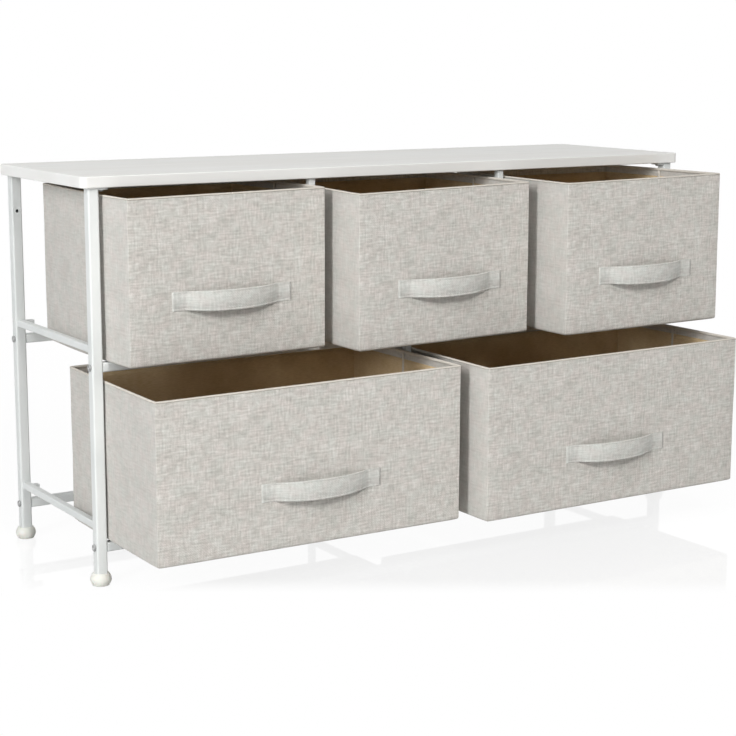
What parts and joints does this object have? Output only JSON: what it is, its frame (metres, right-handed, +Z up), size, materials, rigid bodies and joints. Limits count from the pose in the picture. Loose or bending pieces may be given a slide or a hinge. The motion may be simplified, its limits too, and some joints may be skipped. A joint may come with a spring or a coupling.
{
  "type": "fabric drawer dresser",
  "caption": "Low wide dresser: square-tube steel frame, board top, and fabric bins with strap handles that slide out as drawers in two tiers.",
  "frame": {"origin": "On the floor, under the middle of the box round the part with its drawers as far open as they stand at rest. The middle of the steel frame is 96.7 mm from it towards +Y.", "axes": "+X to the right seen from the front, +Z up, and the drawers open towards -Y"},
  "size_m": [1, 0.491, 0.54],
  "materials": {
    "panel": "white laminated board, satin",
    "frame": "white powder coat, satin",
    "foot": "ivory moulded plastic",
    "bolt": "dark zinc plating",
    "fabric": "coarse linen weave in greige",
    "strap": "sewn strap of the same linen weave",
    "board": "plain brown fibreboard"
  },
  "bodies": {
    "frame": {"top_panel": "panel", "leg_front_left": "frame", "leg_front_right": "frame", "leg_rear_left": "frame", "leg_rear_right": "frame", "foot_front_left": "foot", "foot_front_right": "foot", "foot_rear_left": "foot", "foot_rear_right": "foot", "panel_screw_front_left": "bolt", "panel_screw_front_right": "bolt", "panel_screw_rear_left": "bolt", "panel_screw_rear_right": "bolt", "bolt_low_front_left": "bolt", "bolt_low_front_right": "bolt", "bolt_low_rear_left": "bolt", "bolt_low_rear_right": "bolt", "bolt_mid_front_left": "bolt", "bolt_mid_front_right": "bolt", "bolt_mid_rear_left": "bolt", "bolt_mid_rear_right": "bolt", "side_rail_low_left": "frame", "side_rail_low_right": "frame", "side_rail_mid_left": "frame", "side_rail_mid_right": "frame", "cross_rail_low_front": "frame", "cross_rail_low_rear": "frame", "cross_rail_mid_front": "frame", "cross_rail_mid_rear": "frame", "divider_post_left_front": "frame", "divider_post_left_rear": "frame", "divider_post_right_front": "frame", "divider_post_right_rear": "frame", "divider_bar_left": "frame", "divider_bar_right": "frame", "centre_post_front": "frame", "centre_post_rear": "frame", "centre_bar": "frame", "rear_stop_low_left": "frame", "rear_stop_low_right": "frame", "rear_stop_mid_left": "frame", "rear_stop_mid_right": "frame", "rear_stop_divider_left": "frame", "rear_stop_divider_right": "frame", "rear_stop_centre": "frame"},
    "drawer_small_left": {"drawer_small_left_shell": "fabric", "drawer_small_left_base_board": "board", "drawer_small_left_handle": "strap"},
    "drawer_small_middle": {"drawer_small_middle_shell": "fabric", "drawer_small_middle_base_board": "board", "drawer_small_middle_handle": "strap"},
    "drawer_small_right": {"drawer_small_right_shell": "fabric", "drawer_small_right_base_board": "board", "drawer_small_right_handle": "strap"},
    "drawer_large_left": {"drawer_large_left_shell": "fabric", "drawer_large_left_base_board": "board", "drawer_large_left_handle": "strap"},
    "drawer_large_right": {"drawer_large_right_shell": "fabric", "drawer_large_right_base_board": "board", "drawer_large_right_handle": "strap"}
  },
  "joints": [
    {"name": "small_left_slide", "type": "slide", "parent": "frame", "child": "drawer_small_left", "axis": [0, -1, 0], "range_m": [-0.0535, 0.1465]},
    {"name": "small_middle_slide", "type": "slide", "parent": "frame", "child": "drawer_small_middle", "axis": [0, -1, 0], "range_m": [-0.0965, 0.1035]},
    {"name": "small_right_slide", "type": "slide", "parent": "frame", "child": "drawer_small_right", "axis": [0, -1, 0], "range_m": [-0.1425, 0.0575]},
    {"name": "large_left_slide", "type": "slide", "parent": "frame", "child": "drawer_large_left", "axis": [0, -1, 0], "range_m": [-0.1475, 0.0525]},
    {"name": "large_right_slide", "type": "slide", "parent": "frame", "child": "drawer_large_right", "axis": [0, -1, 0], "range_m": [-0.1835, 0.0165]}
  ]
}
